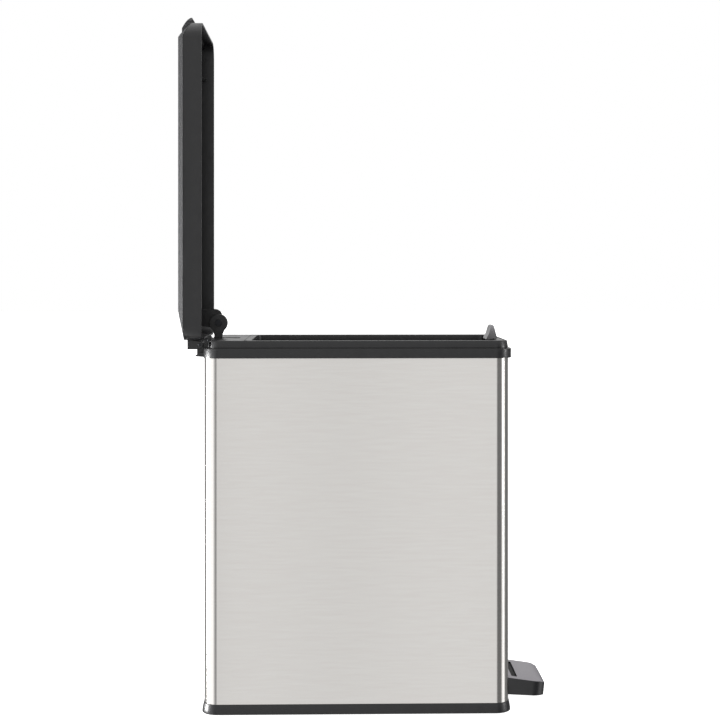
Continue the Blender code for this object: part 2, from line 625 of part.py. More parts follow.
tab += [(FRONT + 12.5, TOP + 14.1), (FRONT + 13.6, TOP + 12.4), (FRONT + 15.6, TOP + 4.5)]
tab += [(FRONT + 17.4, TOP + 1.4), (FRONT + 18.6, TOP - 1.5)]
TAB_HW = 17.0
tongue = prism("a", tab, -TAB_HW, TAB_HW, origin=RING_AXIS)
for s in (-1, 1):
    outline = [(s * TAB_HW * 0.35, TOP + 16), (s * (TAB_HW + 2), TOP + 16), (s * (TAB_HW + 2), TOP + 2)]
    outline.append((s * TAB_HW * 0.86, TOP + 9))
    rings = [[(x, y, z) for x, z in outline] for y in (FRONT, FRONT + 40)]
    cut(tongue, mesh("c", *skin(rings, False), origin=RING_AXIS))
add(ring, tongue)
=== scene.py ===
"""Pedal trash can: finished surfaces for the slim step bin with its lid standing open.
Every piece is modelled in millimetres, and settle() turns it into metres. Front is -Y, up is +Z."""

import json
import math

import bmesh
import bpy
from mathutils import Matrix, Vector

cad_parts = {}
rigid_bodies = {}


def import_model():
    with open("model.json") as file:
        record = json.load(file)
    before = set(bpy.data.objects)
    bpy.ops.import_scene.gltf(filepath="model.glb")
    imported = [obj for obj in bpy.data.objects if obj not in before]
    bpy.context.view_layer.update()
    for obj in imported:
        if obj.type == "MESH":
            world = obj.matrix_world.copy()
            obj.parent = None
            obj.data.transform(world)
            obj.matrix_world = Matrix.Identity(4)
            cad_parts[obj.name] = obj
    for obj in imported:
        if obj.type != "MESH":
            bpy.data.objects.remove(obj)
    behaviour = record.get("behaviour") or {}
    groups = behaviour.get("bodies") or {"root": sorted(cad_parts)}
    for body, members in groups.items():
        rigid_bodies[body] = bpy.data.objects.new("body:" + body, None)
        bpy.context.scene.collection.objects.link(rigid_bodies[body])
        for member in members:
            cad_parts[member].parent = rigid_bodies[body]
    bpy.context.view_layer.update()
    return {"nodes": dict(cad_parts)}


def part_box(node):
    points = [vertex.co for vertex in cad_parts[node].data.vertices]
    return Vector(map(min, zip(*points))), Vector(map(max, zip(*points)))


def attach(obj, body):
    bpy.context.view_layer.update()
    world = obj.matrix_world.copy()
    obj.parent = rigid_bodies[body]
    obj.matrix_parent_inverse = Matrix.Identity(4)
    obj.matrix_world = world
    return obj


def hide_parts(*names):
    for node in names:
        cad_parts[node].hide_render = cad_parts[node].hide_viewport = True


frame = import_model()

for spare in list(bpy.data.objects):
    if spare.type in ("CAMERA", "LIGHT") or spare.name == "Cube":
        bpy.data.objects.remove(spare)


# ---- sizes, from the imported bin, in millimetres ------------------------------------------
def span(node):
    low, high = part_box(node)
    return [value * 1000 for value in low], [value * 1000 for value in high]


(_, FRONT, SHELL_LOW), (HALF, BACK, SHELL_TOP) = span("steel_shell")
_, (BASE_HALF, _, _) = span("base_ring")
(_, _, SKIRT_LOW), (_, _, RIM_TOP) = span("rim")
_, (_, _, LID_HEAD) = span("lid_frame")
_, (_, LID_TOP_Y, LIP_HEAD) = span("lid_panel")
(_, _, RING_LOW), (_, _, TAB_TOP) = span("bag_ring")
(_, _, BUCKET_LOW), (_, _, BUCKET_TOP) = span("inner_bucket")
_, (PAD_HALF, _, _) = span("pedal_pad")
pin_low, pin_high = span("hinge_pin_left")
HINGE_Y, HINGE_Z = (pin_low[1] + pin_high[1]) / 2, (pin_low[2] + pin_high[2]) / 2
HINGE_X = -(pin_low[0] + pin_high[0]) / 2
CORNER = 15.0  # vertical corners of the shell
BAND_LOW = RIM_TOP - 18.9
BAND_TOP = RIM_TOP - 8.6
LEDGE_Z = RIM_TOP - 5.8
COLLAR_IN = -3.8
WELL = BACK - 43.0


# ---- modelling -----------------------------------------------------------------------------
def begin(name, add=None, **settings):
    """A new object in edit mode, with nothing else selected."""
    bpy.ops.object.select_all(action="DESELECT")
    if add is None:
        bpy.ops.object.add(type="MESH", location=(0, 0, 0))
    else:
        add(**settings)
    piece = bpy.context.object
    piece.name = piece.data.name = name
    bpy.ops.object.mode_set(mode="EDIT")
    return piece


def select(kind, test):
    """Selects faces by centre and normal, edges by middle and direction, or points by place."""
    bpy.ops.mesh.select_mode(type=kind)
    bpy.ops.mesh.select_all(action="DESELECT")
    shape = bmesh.from_edit_mesh(bpy.context.object.data)
    if kind == "FACE":
        for face in shape.faces:
            face.select_set(bool(test(face.calc_center_median(), face.normal)))
    elif kind == "EDGE":
        for edge in shape.edges:
            a, b = (v.co for v in edge.verts)
            edge.select_set(bool(test((a + b) / 2, (b - a).normalized())))
    else:
        for point in shape.verts:
            point.select_set(bool(test(point.co)))
        shape.select_flush(True)
    bmesh.update_edit_mesh(bpy.context.object.data)


def soften(width, steps, test):
    """Rounds the edges that pass the test."""
    select("EDGE", test)
    bpy.ops.mesh.bevel(offset=width, segments=steps, affect="EDGES", clamp_overlap=True)


def outline(half, front, back, z, corner, steps=14):
    """Adds a rounded outline to the mesh being edited: a plane with its four corners bevelled."""
    middle = (0, (front + back) / 2, z)
    bpy.ops.mesh.select_all(action="DESELECT")
    bpy.ops.mesh.primitive_plane_add(size=1, location=middle)
    bpy.ops.transform.resize(value=(2 * half, back - front, 1), center_override=middle)
    bpy.ops.mesh.bevel(offset=corner, segments=steps, affect="VERTICES", clamp_overlap=False)
    bpy.ops.mesh.delete(type="ONLY_FACE")


def loft(name, rings, closed, low_cap=False, high_cap=False):
    """Rounded outlines bridged one to the next, stacked far apart so that each meets its own
    neighbour, and then brought to their heights. A ring is (half width, front, back, height,
    corner radius, rounding of the edge there)."""
    piece = begin(name)
    bpy.ops.mesh.select_mode(type="VERT")
    mark = bmesh.from_edit_mesh(piece.data).verts.layers.int.new("ring")
    for k, (half, front, back, z, corner, _) in enumerate(rings):
        outline(half, front, back, 100 * k, corner)
        shape = bmesh.from_edit_mesh(piece.data)
        mark = shape.verts.layers.int["ring"]
        for point in shape.verts:
            if point[mark] == 0:
                point[mark] = k + 1

    def choose(*wanted):
        shape = bmesh.from_edit_mesh(piece.data)
        mark = shape.verts.layers.int["ring"]
        bpy.ops.mesh.select_mode(type="EDGE")
        bpy.ops.mesh.select_all(action="DESELECT")
        for edge in shape.edges:
            a, b = (v[mark] for v in edge.verts)
            edge.select_set(a == b and a - 1 in wanted)
        bmesh.update_edit_mesh(piece.data)

    count = len(rings)
    for k in range(count if closed else count - 1):
        choose(k, (k + 1) % count)
        bpy.ops.mesh.bridge_edge_loops()
    for k, wanted in ((0, low_cap), (count - 1, high_cap)):
        if wanted:
            choose(k)
            bpy.ops.mesh.edge_face_add()
    for k, ring in enumerate(rings):
        choose(k)
        bpy.ops.transform.translate(value=(0, 0, ring[3] - 100 * k))
    for k, ring in enumerate(rings):
        if ring[5]:
            choose(k)
            bpy.ops.mesh.bevel(offset=ring[5], segments=4, affect="EDGES", clamp_overlap=True)
    bpy.ops.mesh.select_all(action="SELECT")
    bpy.ops.mesh.normals_make_consistent(inside=False)
    return piece


def draw(name, points, x0, x1):
    """An outline in (y, z) drawn point by point, filled and extruded along X."""
    piece = begin(name, bpy.ops.mesh.primitive_plane_add, size=1, location=(0, 0, 0))
    bpy.ops.mesh.select_mode(type="VERT")
    bpy.ops.mesh.select_all(action="SELECT")
    bpy.ops.mesh.merge(type="CENTER")
    bpy.ops.transform.translate(value=(x0, *points[0]))
    for (y0, z0), (y1, z1) in zip(points, points[1:]):
        bpy.ops.mesh.extrude_region_move(TRANSFORM_OT_translate={"value": (0, y1 - y0, z1 - z0)})
    bpy.ops.mesh.select_all(action="SELECT")
    bpy.ops.mesh.edge_face_add()
    bpy.ops.mesh.extrude_region_move(TRANSFORM_OT_translate={"value": (x1 - x0, 0, 0)})
    bpy.ops.mesh.select_all(action="SELECT")
    bpy.ops.mesh.normals_make_consistent(inside=False)
    return piece


def block(name, x, y, z):
    """A cube brought to the given reach along each axis."""
    piece = begin(name, bpy.ops.mesh.primitive_cube_add, size=1, location=(0, 0, 0))
    bpy.ops.transform.resize(value=(x[1] - x[0], y[1] - y[0], z[1] - z[0]))
    bpy.ops.transform.translate(value=[(low + high) / 2 for low, high in (x, y, z)])
    return piece


def round_bar(name, axis, centre, radius, length, sides=48):
    """A cylinder about its centre, along X, Y or Z."""
    turn = {"X": (0, math.pi / 2, 0), "Y": (math.pi / 2, 0, 0), "Z": (0, 0, 0)}[axis]
    size = {"vertices": sides, "radius": radius, "depth": length}
    return begin(name, bpy.ops.mesh.primitive_cylinder_add, location=centre, rotation=turn, **size)


def arc(y, z, radius, first, last, steps):
    """Points on an arc in (y, z), the angles in degrees."""
    angles = [math.radians(first + (last - first) * i / steps) for i in range(steps + 1)]
    return [(y + radius * math.cos(a), z + radius * math.sin(a)) for a in angles]


def leave():
    bpy.ops.object.mode_set(mode="OBJECT")
    bpy.ops.object.transform_apply(location=True, rotation=True, scale=True)


def combine(piece, tools, how):
    """Cuts the tools away from a piece, or joins them to it."""
    for tool in tools:
        bpy.ops.object.select_all(action="DESELECT")
        piece.select_set(True)
        bpy.context.view_layer.objects.active = piece
        step = piece.modifiers.new("join", "BOOLEAN")
        step.object, step.operation, step.solver = tool, how, "EXACT"
        bpy.ops.object.modifier_apply(modifier=step.name)
        bpy.data.objects.remove(tool)
    return piece


def turn_about(piece, y, z, angle):
    """Turns a piece about an axis along X, in degrees."""
    bpy.ops.object.select_all(action="DESELECT")
    piece.select_set(True)
    bpy.context.view_layer.objects.active = piece
    bpy.ops.object.mode_set(mode="EDIT")
    bpy.ops.mesh.select_all(action="SELECT")
    bpy.ops.transform.rotate(value=-math.radians(angle), orient_axis="X", center_override=(0, y, z))
    bpy.ops.object.mode_set(mode="OBJECT")


def settle(piece, body, finish, slot, *nodes, angle=32):
    """Millimetres to metres, smooth shading, the finish, and the body that it rides on."""
    bpy.ops.object.select_all(action="DESELECT")
    piece.select_set(True)
    bpy.context.view_layer.objects.active = piece
    piece.scale = (0.001, 0.001, 0.001)
    bpy.ops.object.transform_apply(location=True, rotation=True, scale=True)
    bpy.ops.object.shade_smooth_by_angle(angle=math.radians(angle))
    piece.data.materials.clear()
    piece.data.materials.append(finish)
    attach(piece, body)
    if nodes:
        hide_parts(*nodes)
    return piece


# ---- finishes --------------------------------------------------------------------------------
def linear(code):
    """An sRGB hex colour as linear red, green, blue and full cover."""
    values = [int(code[i : i + 2], 16) / 255 for i in (1, 3, 5)]
    return [v / 12.92 if v <= 0.04045 else ((v + 0.055) / 1.055) ** 2.4 for v in values] + [1]


def node(tree, kind, links=(), inputs=(), **settings):
    """One node: its settings, the values of its inputs, and the links that come into it."""
    made = tree.nodes.new(kind)
    for key, value in settings.items():
        setattr(made, key, value)
    for key, value in inputs:
        made.inputs[key].default_value = value
    for key, source in links:
        tree.links.new(source, made.inputs[key])
    return made


def surface(name, code, metallic, roughness):
    made = bpy.data.materials.new(name)
    made.use_nodes = True
    shader = made.node_tree.nodes["Principled BSDF"]
    shader.inputs["Base Color"].default_value = linear(code)
    shader.inputs["Metallic"].default_value = metallic
    shader.inputs["Roughness"].default_value = roughness
    return made, made.node_tree, shader


def placed(tree, scale):
    """Object coordinates, stretched so that one step of a pattern is so many millimetres each way."""
    where = node(tree, "ShaderNodeTexCoord")
    sizes = [1000 / value for value in scale]
    return node(tree, "ShaderNodeMapping", [("Vector", where.outputs["Object"])], [("Scale", sizes)])


def ramp(tree, source, stops):
    made = node(tree, "ShaderNodeValToRGB", [("Fac", source)])
    bar = made.color_ramp
    bar.elements[0].position, bar.elements[0].color = stops[0]
    bar.elements[1].position, bar.elements[1].color = stops[-1]
    for at, colour in stops[1:-1]:
        bar.elements.new(at).color = colour
    return made


def brushed_stainless():
    """430 stainless sheet, brushed along its length and lacquered: fine level lines that
    spread a highlight up and down, and a calm grey face with bright upright corners."""
    made, tree, shader = surface("brushed stainless steel", "#d2d0cd", 1.0, 0.26)
    shader.inputs["Anisotropic"].default_value = 0.8
    shader.inputs["Anisotropic Rotation"].default_value = 0.25
    # the real lines are 0.1 mm apart; they are drawn 0.5 mm apart so that they show
    lines = placed(tree, (90, 90, 0.5))
    fine = node(tree, "ShaderNodeTexNoise", [("Vector", lines.outputs[0])], [("Detail", 3.0)])
    broad = placed(tree, (160, 160, 9))
    cloud = node(tree, "ShaderNodeTexNoise", [("Vector", broad.outputs[0])], [("Detail", 2.0)])
    rough = node(tree, "ShaderNodeMapRange", [("Value", fine.outputs["Fac"])])
    rough.inputs["To Min"].default_value, rough.inputs["To Max"].default_value = 0.16, 0.24
    tree.links.new(rough.outputs[0], shader.inputs["Roughness"])
    tone = ramp(tree, cloud.outputs["Fac"], [(0.3, linear("#cfccc9")), (0.7, linear("#d1cfcc"))])
    streak = ramp(tree, fine.outputs["Fac"], [(0.25, linear("#fafafa")), (0.75, linear("#ffffff"))])
    mix = node(tree, "ShaderNodeMix", data_type="RGBA", blend_type="MULTIPLY")
    mix.inputs["Factor"].default_value = 1.0
    tree.links.new(tone.outputs[0], mix.inputs["A"])
    tree.links.new(streak.outputs[0], mix.inputs["B"])
    tree.links.new(mix.outputs["Result"], shader.inputs["Base Color"])
    bump = node(tree, "ShaderNodeBump", [("Height", fine.outputs["Fac"])])
    bump.inputs["Strength"].default_value, bump.inputs["Distance"].default_value = 0.04, 0.00005
    tree.links.new(bump.outputs[0], shader.inputs["Normal"])
    grain = node(tree, "ShaderNodeTangent", direction_type="RADIAL", axis="Z")
    tree.links.new(grain.outputs[0], shader.inputs["Tangent"])
    return made


def moulded_black(name, code, low, high, pitch, depth):
    """Injection-moulded ABS from a spark-eroded mould: near black, satin, with a fine even
    texture that breaks up its reflections and a few cloudy patches of gloss."""
    made, tree, shader = surface(name, code, 0.0, (low + high) / 2)
    skin = placed(tree, (pitch, pitch, pitch))
    pits = node(tree, "ShaderNodeTexNoise", [("Vector", skin.outputs[0])], [("Detail", 2.0)])
    wide = placed(tree, (35, 35, 35))
    patch = node(tree, "ShaderNodeTexNoise", [("Vector", wide.outputs[0])], [("Detail", 3.0)])
    gloss = node(tree, "ShaderNodeMapRange", [("Value", patch.outputs["Fac"])])
    gloss.inputs["From Min"].default_value, gloss.inputs["From Max"].default_value = 0.3, 0.7
    gloss.inputs["To Min"].default_value, gloss.inputs["To Max"].default_value = low, high
    tree.links.new(gloss.outputs[0], shader.inputs["Roughness"])
    bump = node(tree, "ShaderNodeBump", [("Height", pits.outputs["Fac"])])
    bump.inputs["Strength"].default_value, bump.inputs["Distance"].default_value = 0.5, depth / 1000
    tree.links.new(bump.outputs[0], shader.inputs["Normal"])
    return made


def grained_cover():
    """ABS from a leather-grain mould: small raised cells with glossier crowns, their centres painted paler
    as a painted highlight on the grain, so that it looks speckled grey where the light rakes it and black
    where it doesn't."""
    made, tree, shader = surface("grained black ABS", "#1c1c1e", 0.0, 0.5)
    # the cells are about 0.9 mm wide; they are drawn 1.3 mm wide so that they show
    skin = placed(tree, (1.3, 1.3, 1.3))
    cells = node(tree, "ShaderNodeTexVoronoi", [("Vector", skin.outputs[0])])
    small = placed(tree, (0.6, 0.6, 0.6))
    pits = node(tree, "ShaderNodeTexNoise", [("Vector", small.outputs[0])], [("Detail", 3.0)])
    # painted highlight: the centre of each cell is painted paler than the black between the cells
    painted_cell_sheen = ramp(tree, cells.outputs["Distance"], [(0.15, linear("#343437")), (0.6, linear("#141416"))])
    tree.links.new(painted_cell_sheen.outputs[0], shader.inputs["Base Color"])
    gloss = node(tree, "ShaderNodeMapRange", [("Value", cells.outputs["Distance"])])
    gloss.inputs["To Min"].default_value, gloss.inputs["To Max"].default_value = 0.42, 0.75
    tree.links.new(gloss.outputs[0], shader.inputs["Roughness"])
    height = node(tree, "ShaderNodeMath", [(0, cells.outputs["Distance"]), (1, pits.outputs["Fac"])])
    height.operation = "ADD"
    bump = node(tree, "ShaderNodeBump", [("Height", height.outputs[0])], invert=True)
    bump.inputs["Strength"].default_value, bump.inputs["Distance"].default_value = 0.8, 0.00025
    tree.links.new(bump.outputs[0], shader.inputs["Normal"])
    return made


def tread_with_painted_top_sheen():
    """The same ABS, its upward faces painted grey as a painted reflection of the bright light above, black
    on its sides, with faint random scuffs.
    """
    made, tree, shader = surface("black ABS with painted top sheen", "#17171a", 0.0, 0.3)
    facing = node(tree, "ShaderNodeNewGeometry")
    upward = node(tree, "ShaderNodeSeparateXYZ", [("Vector", facing.outputs["Normal"])])
    skin = placed(tree, (6, 6, 6))
    scuffs = node(tree, "ShaderNodeTexNoise", [("Vector", skin.outputs[0])], [("Detail", 5.0)])
    # painted reflection: faces that point upward are painted grey, where the black plastic would mirror the
    # bright studio above
    painted_top_sheen = ramp(tree, upward.outputs["Z"], [(0.5, linear("#17171a")), (0.93, linear("#77737a"))])
    shade = ramp(tree, scuffs.outputs["Fac"], [(0.3, linear("#e6e6e6")), (0.7, linear("#ffffff"))])
    mix = node(tree, "ShaderNodeMix", data_type="RGBA", blend_type="MULTIPLY")
    mix.inputs["Factor"].default_value = 1.0
    tree.links.new(painted_top_sheen.outputs[0], mix.inputs["A"])
    tree.links.new(shade.outputs[0], mix.inputs["B"])
    tree.links.new(mix.outputs["Result"], shader.inputs["Base Color"])
    return made


def rolled_steel():
    """Cold-rolled steel, zinc plated: cool grey with faint cloudy patches and soft scratches."""
    made, tree, shader = surface("zinc plated steel", "#b9babd", 1.0, 0.34)
    wide = placed(tree, (14, 14, 14))
    cloud = node(tree, "ShaderNodeTexNoise", [("Vector", wide.outputs[0])], [("Detail", 4.0)])
    tone = ramp(tree, cloud.outputs["Fac"], [(0.3, linear("#a5a7ab")), (0.7, linear("#c4c5c7"))])
    tree.links.new(tone.outputs[0], shader.inputs["Base Color"])
    rough = node(tree, "ShaderNodeMapRange", [("Value", cloud.outputs["Fac"])])
    rough.inputs["To Min"].default_value, rough.inputs["To Max"].default_value = 0.24, 0.46
    tree.links.new(rough.outputs[0], shader.inputs["Roughness"])
    fine = placed(tree, (0.7, 9, 0.7))
    lines = node(tree, "ShaderNodeTexNoise", [("Vector", fine.outputs[0])], [("Detail", 2.0)])
    bump = node(tree, "ShaderNodeBump", [("Height", lines.outputs["Fac"])])
    bump.inputs["Strength"].default_value, bump.inputs["Distance"].default_value = 0.2, 0.00004
    tree.links.new(bump.outputs[0], shader.inputs["Normal"])
    return made


STEEL = brushed_stainless()
BLACK = moulded_black("satin black ABS", "#121214", 0.3, 0.42, 0.8, 0.04)
GRAIN = grained_cover()
# polypropylene from a matt mould: dark grey, waxy, slightly uneven
GREY = moulded_black("dark grey polypropylene", "#37383b", 0.44, 0.58, 1.1, 0.07)
# the pedal's tread, its top painted grey as a painted reflection
TREAD_WITH_PAINTED_SHEEN = tread_with_painted_top_sheen()
# polypropylene: mid grey, satin
PALE = moulded_black("mid grey polypropylene", "#6a696b", 0.24, 0.34, 0.9, 0.03)
PLATED = rolled_steel()
# pins turned from bar and blackened in oil: dark, with a soft metallic sheen
OILED = surface("oil-blackened steel", "#2c2d30", 0.85, 0.42)[0]
# moulded rubber: the deepest black, dry, with a coarse talc-like skin
RUBBER = moulded_black("moulded black rubber", "#0f0f10", 0.7, 0.85, 0.9, 0.12)


# ---- shell and base ----------------------------------------------------------------------------
def around(grow, z, rear=None, edge=0.0):
    """A ring round the body's outline, grown outward, or by rear at the back."""
    back = BACK + (grow if rear is None else rear)
    return (HALF + grow, FRONT - grow, back, z, CORNER + grow, edge)


ARM_HALF = 20.0
shell = loft(
    "shell_sheet",
    [around(0, SHELL_LOW), around(0, SHELL_TOP), around(-0.8, SHELL_TOP), around(-0.8, SHELL_LOW)],
    True,
)
leave()
mouth = block("mouth", (-ARM_HALF, ARM_HALF), (FRONT - 9, FRONT + 9), (0, 31))
leave()
combine(shell, [mouth], "DIFFERENCE")
settle(shell, "body", STEEL, "brushed_shell", "steel_shell")

FLARE = BASE_HALF - HALF
base = loft(
    "base_skirt",
    [
        around(FLARE, 1.0, None, 0.6),
        around(FLARE, 3.4, None, 1.2),
        around(0.7, SHELL_LOW - 0.3, None, 0.5),
        around(-1.1, SHELL_LOW - 0.3),
        around(-1.1, 30.0),
        around(-3.1, 30.0),
        around(-3.1, 6.6),
        around(-12.0, 6.6),
        around(-12.0, 4.6),
        around(-0.4, 4.6),
        around(0.2, 1.0, None, 0.3),
    ],
    True,
)
leave()
tools = []
for name, x, y, z in (
    ("arm_gap", (-ARM_HALF, ARM_HALF), (FRONT - 9, FRONT + 14), (7.5, 34)),
    ("pad_gap", (-PAD_HALF - 1.6, PAD_HALF + 1.6), (FRONT - 9, FRONT + 3.4), (6.0, SHELL_LOW + 1)),
    ("tail_gap", (-21, 21), (BACK - 24, BACK - 1.6), (3.6, 34)),
):
    tools.append(block(name, x, y, z))
    leave()
combine(base, tools, "DIFFERENCE")
settle(base, "body", BLACK, "black_plastic", "base_ring")

# ---- rim ---------------------------------------------------------------------------------------
OUT = 3.2
rim = loft(
    "rim_moulding",
    [
        around(0.3, BAND_LOW),
        around(OUT, BAND_LOW, 1.0, 0.4),
        around(OUT, BAND_TOP, 1.0, 0.3),
        around(-0.7, BAND_TOP, -3.3),
        around(-0.7, BAND_TOP + 1.0, -3.3),
        around(0.0, BAND_TOP + 1.0, -2.9, 0.2),
        around(-1.3, RIM_TOP, -3.7, 0.7),
        around(COLLAR_IN, RIM_TOP, -5.7, 0.4),
        around(COLLAR_IN, LEDGE_Z, -5.7),
        around(COLLAR_IN - 3.2, LEDGE_Z, -8.9, 0.3),
        around(COLLAR_IN - 3.2, LEDGE_Z - 2.2, -8.9),
        around(-3.1, LEDGE_Z - 5.6),
        around(-3.1, SKIRT_LOW, None, 0.4),
        around(-1.1, SKIRT_LOW),
        around(-1.1, SHELL_TOP + 0.3),
        around(0.3, SHELL_TOP + 0.3),
    ],
    True,
)
leave()
deck_half = HALF + COLLAR_IN + 0.4
deck = block("rim_deck", (-deck_half, deck_half), (WELL, BACK - 5.1), (RIM_TOP - 2.5, RIM_TOP - 0.2))
soften(13.0, 10, lambda at, along: abs(along.z) > 0.9 and at.y > WELL + 9)
soften(0.5, 3, lambda at, along: at.z > RIM_TOP - 1 and at.y < WELL + 1)
leave()
apron = block("apron", (-deck_half + 1, deck_half - 1), (WELL, WELL + 2.5), (BAND_LOW - 1, RIM_TOP - 1))
leave()
shelf = block("shelf", (-deck_half + 2, deck_half - 2), (WELL - 3.2, WELL + 1), (LEDGE_Z - 2.5, LEDGE_Z))
leave()
slot = block("slot", (-8.6, 6.2), (WELL + 8.0, BACK - 5.7), (BAND_LOW - 20, RIM_TOP + 9))
soften(2.4, 5, lambda at, along: abs(along.z) > 0.9)
leave()
combine(deck, [apron, shelf], "UNION")
combine(deck, [slot], "DIFFERENCE")
settle(deck, "body", BLACK, "black_plastic")
across, along_y = (-deck_half + 1, deck_half - 1), (WELL + 2.4, BACK - 5.7)
opening = block("opening", across, along_y, (SKIRT_LOW, RIM_TOP - 1.2))
leave()
notch = block("notch", (-8.6, 6.2), (WELL + 8.0, BACK - 5.4), (BAND_LOW - 20, RIM_TOP + 9))
leave()
combine(rim, [opening, notch], "DIFFERENCE")
settle(rim, "body", BLACK, "black_plastic", "rim")

KNUCKLE = 3.6
root = BACK + 0.55
for side, s in (("left", -1), ("right", 1)):
    x = s * HINGE_X
    cheek = [(root, BAND_LOW + 0.9), (HINGE_Y + 3.2, BAND_LOW + 1.6), (HINGE_Y + 3.6, BAND_LOW + 4)]
    cheek += arc(HINGE_Y, HINGE_Z, KNUCKLE, 0, 180, 24)
    cheek += [(HINGE_Y - KNUCKLE, BAND_TOP - 1), (root, BAND_TOP - 2)]
    lug = draw(f"rim_knuckle_{side}", cheek, x - 4.5, x + 4.5)
    soften(0.4, 3, lambda at, along: abs(along.x) < 0.1 and abs(abs(at.x - x) - 4.5) < 0.01)
    leave()
    step = [(root, BAND_LOW + 0.8), (HINGE_Y + 4.6, BAND_LOW + 1.4), (HINGE_Y + 4.6, BAND_LOW + 2.6)]
    step += [(HINGE_Y + 0.5, BAND_LOW + 5.2), (root, BAND_LOW + 5.6)]
    ledge = draw("ledge", step, x - 11.5, x + 11.5)
    soften(0.35, 2, lambda at, along: at.y > root + 1)
    leave()
    rib = [(BACK - 8, RIM_TOP - 2), (BACK - 6.6, RIM_TOP + 4.6), (BACK - 2.8, RIM_TOP + 4.6)]
    rib += [(BACK - 2.8, BAND_TOP + 4), (HINGE_Y - 2.5, BAND_TOP + 4), (HINGE_Y - 2.5, BAND_TOP - 2)]
    rib.append((BACK - 8, BAND_TOP - 2))
    gusset = draw("gusset", rib, x - 3.6, x + 3.6)
    soften(0.4, 3, lambda at, along: abs(along.x) > 0.9 and at.z > RIM_TOP + 4)
    leave()
    combine(lug, [ledge, gusset], "UNION")
    settle(lug, "body", BLACK, "black_plastic")

# ---- lid, drawn shut and then turned up about its hinge ------------------------------------------
OVER = 3.3  # how far the lid stands out from the body's outline
TOP = HINGE_Z + (LID_TOP_Y - HINGE_Y)
SEAM = TOP - 6.3
EDGE = HINGE_Z - 3.4
LID_BACK = HINGE_Y - 4.8
LID_FRONT = HINGE_Y - (LID_HEAD - HINGE_Z)
LIP_TIP = HINGE_Y - (LIP_HEAD - HINGE_Z)
SLOPE_FROM, SLOPE = LID_FRONT + 16.0, 0.54


def lid_ring(grow, z, rear=None, edge=0.0):
    back = LID_BACK - OVER + (grow if rear is None else rear)
    return (HALF + grow, LID_FRONT + OVER - grow, back, z, CORNER + grow, edge)


def slope_front(piece):
    """The lid's top and seam run down towards its front edge."""
    bpy.ops.mesh.select_mode(type="VERT")
    bpy.ops.mesh.select_all(action="SELECT")
    bpy.ops.mesh.bisect(plane_co=(0, SLOPE_FROM, 0), plane_no=(0, 1, 0))
    shape = bmesh.from_edit_mesh(piece.data)
    for point in shape.verts:
        if point.co.y < SLOPE_FROM and point.co.z > SEAM - 4:
            point.co.z -= (SLOPE_FROM - point.co.y) * SLOPE
    bmesh.update_edit_mesh(piece.data)


walls = loft(
    "lid_walls",
    [
        lid_ring(OVER, EDGE, None, 0.5),
        lid_ring(OVER, SEAM - 0.3, None, 0.3),
        lid_ring(-7.0, SEAM - 0.3),
        lid_ring(-7.0, SEAM - 2.3, None, 0.5),
        lid_ring(OVER - 2, SEAM - 2.3),
        lid_ring(OVER - 2, EDGE, None, 0.4),
    ],
    True,
)
slope_front(walls)
bpy.ops.mesh.select_all(action="SELECT")
bpy.ops.mesh.dissolve_degenerate(threshold=0.01)
leave()
gaps = []
for s in (-1, 1):
    x = s * HINGE_X
    gaps.append(block("gap", (x - 5.2, x + 5.2), (HINGE_Y - 8, HINGE_Y + 4), (EDGE - 2, HINGE_Z + 5)))
    leave()
combine(walls, gaps, "DIFFERENCE")
web = block("lid_web", (2 - HALF, HALF - 2), (LID_BACK - 39, LID_BACK - 1.2), (SEAM - 2.2, SEAM - 0.4))
soften(0.5, 3, lambda at, along: abs(along.x) > 0.9 and at.y < LID_BACK - 30)
leave()
turn_about(web, HINGE_Y, HINGE_Z, -90)
settle(web, "lid", BLACK, "black_plastic")
turn_about(walls, HINGE_Y, HINGE_Z, -90)
settle(walls, "lid", BLACK, "black_plastic", "lid_frame")
for i, (s, t) in enumerate(((-1, -1), (-1, 1), (1, -1), (1, 1))):
    inner, outer = sorted((s * HINGE_X + t * 5.0, s * HINGE_X + t * 11.0))
    stop = arc(HINGE_Y, HINGE_Z, KNUCKLE, 171, 351, 24)
    stop += [(HINGE_Y + 5.2, HINGE_Z + 4), (HINGE_Y + 5.2, HINGE_Z + 13.4), (LID_BACK - 1, HINGE_Z + 13.4)]
    knuckle = draw(f"lid_knuckle_{i + 1}", stop, inner, outer)
    soften(0.35, 3, lambda at, along: abs(along.x) < 0.1)
    leave()
    turn_about(knuckle, HINGE_Y, HINGE_Z, -90)
    settle(knuckle, "lid", BLACK, "black_plastic")

cover = loft(
    "lid_cover",
    [
        lid_ring(-8.0, TOP, -25.0, 1.6),
        lid_ring(OVER, SEAM + 0.1, None, 0.4),
        lid_ring(OVER, SEAM),
        lid_ring(0.2, SEAM),
        lid_ring(-7.0, TOP - 1.8, -23.0),
    ],
    False,
    True,
    True,
)
slope_front(cover)
leave()
tongue = [(SLOPE_FROM, TOP - 0.1), (LID_FRONT, TOP - 0.4), (LIP_TIP + 6.8, TOP - 3.8)]
tongue += [(LIP_TIP + 0.5, TOP - 9.2), (LIP_TIP, TOP - 10.4), (LIP_TIP + 0.8, TOP - 11.6)]
tongue += [(LIP_TIP + 5.2, TOP - 14.2), (LID_FRONT - 0.6, TOP - 14.2), (LID_FRONT + 1.6, TOP - 13.2)]
tongue += [(LID_FRONT + 10.6, TOP - 3.9), (SLOPE_FROM, TOP - 1.3)]
LIP_HALF = 35.0
lip = draw("lid_lip", tongue, -LIP_HALF, LIP_HALF)
tip_end = LID_FRONT + 9
soften(1.2, 4, lambda at, _: abs(abs(at.x) - LIP_HALF) < 0.01 and at.z > TOP - 12 and at.y < tip_end)
soften(1.4, 4, lambda at, along: abs(along.x) > 0.9 and at.z > TOP - 5 and at.y < SLOPE_FROM - 1)
leave()
combs = []
